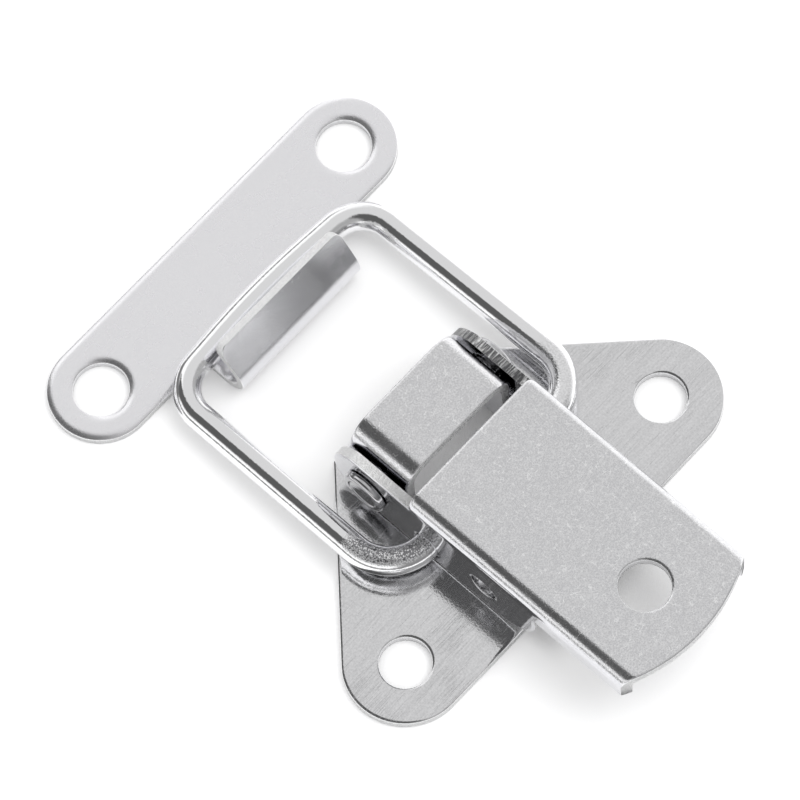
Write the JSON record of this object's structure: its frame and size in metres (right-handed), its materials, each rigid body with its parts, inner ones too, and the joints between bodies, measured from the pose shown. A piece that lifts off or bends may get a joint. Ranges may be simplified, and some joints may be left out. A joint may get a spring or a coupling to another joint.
{
  "type": "over-centre toggle latch",
  "caption": "Pressed-steel over-centre toggle latch: a channel lever on a folded base plate draws a wire bail over a hooked strike plate.",
  "frame": {"origin": "midway between the base plate's screw holes, on the mounting face", "axes": "+X along the latch from the strike plate to the lever's tail, +Z out of the mounting face"},
  "size_m": [0.0709, 0.0508, 0.0123],
  "materials": {
    "pressed_sheet": "satin sheet with a fine grain",
    "polished_sheet": "bright sheet with a fine grain",
    "bright_wire": "bright plated wire",
    "rivet_steel": "bright plated steel"
  },
  "bodies": {
    "base": {"base_plate": "polished_sheet", "rivet_left": "rivet_steel", "rivet_right": "rivet_steel"},
    "lever": {"lever": "pressed_sheet"},
    "bail": {"bail": "bright_wire"},
    "strike": {"strike_plate": "pressed_sheet"}
  },
  "joints": [
    {"name": "lever_hinge", "type": "hinge", "parent": "base", "child": "lever", "pos_m": [-0.0139, 0, 0.0063], "axis": [0, -1, 0], "range_deg": [0, 140]},
    {"name": "bail_hinge", "type": "hinge", "parent": "lever", "child": "bail", "pos_m": [-0.006, 0, 0.0043], "axis": [0, -1, 0], "range_deg": [-140, 0]},
    {"name": "strike_slide", "type": "slide", "parent": "bail", "child": "strike", "axis": [1, 0, 0], "range_m": [-0.0022, 0]}
  ],
  "couplings": [
    {"joint": "bail_hinge", "follows": "lever_hinge", "ratio": -1}
  ]
}
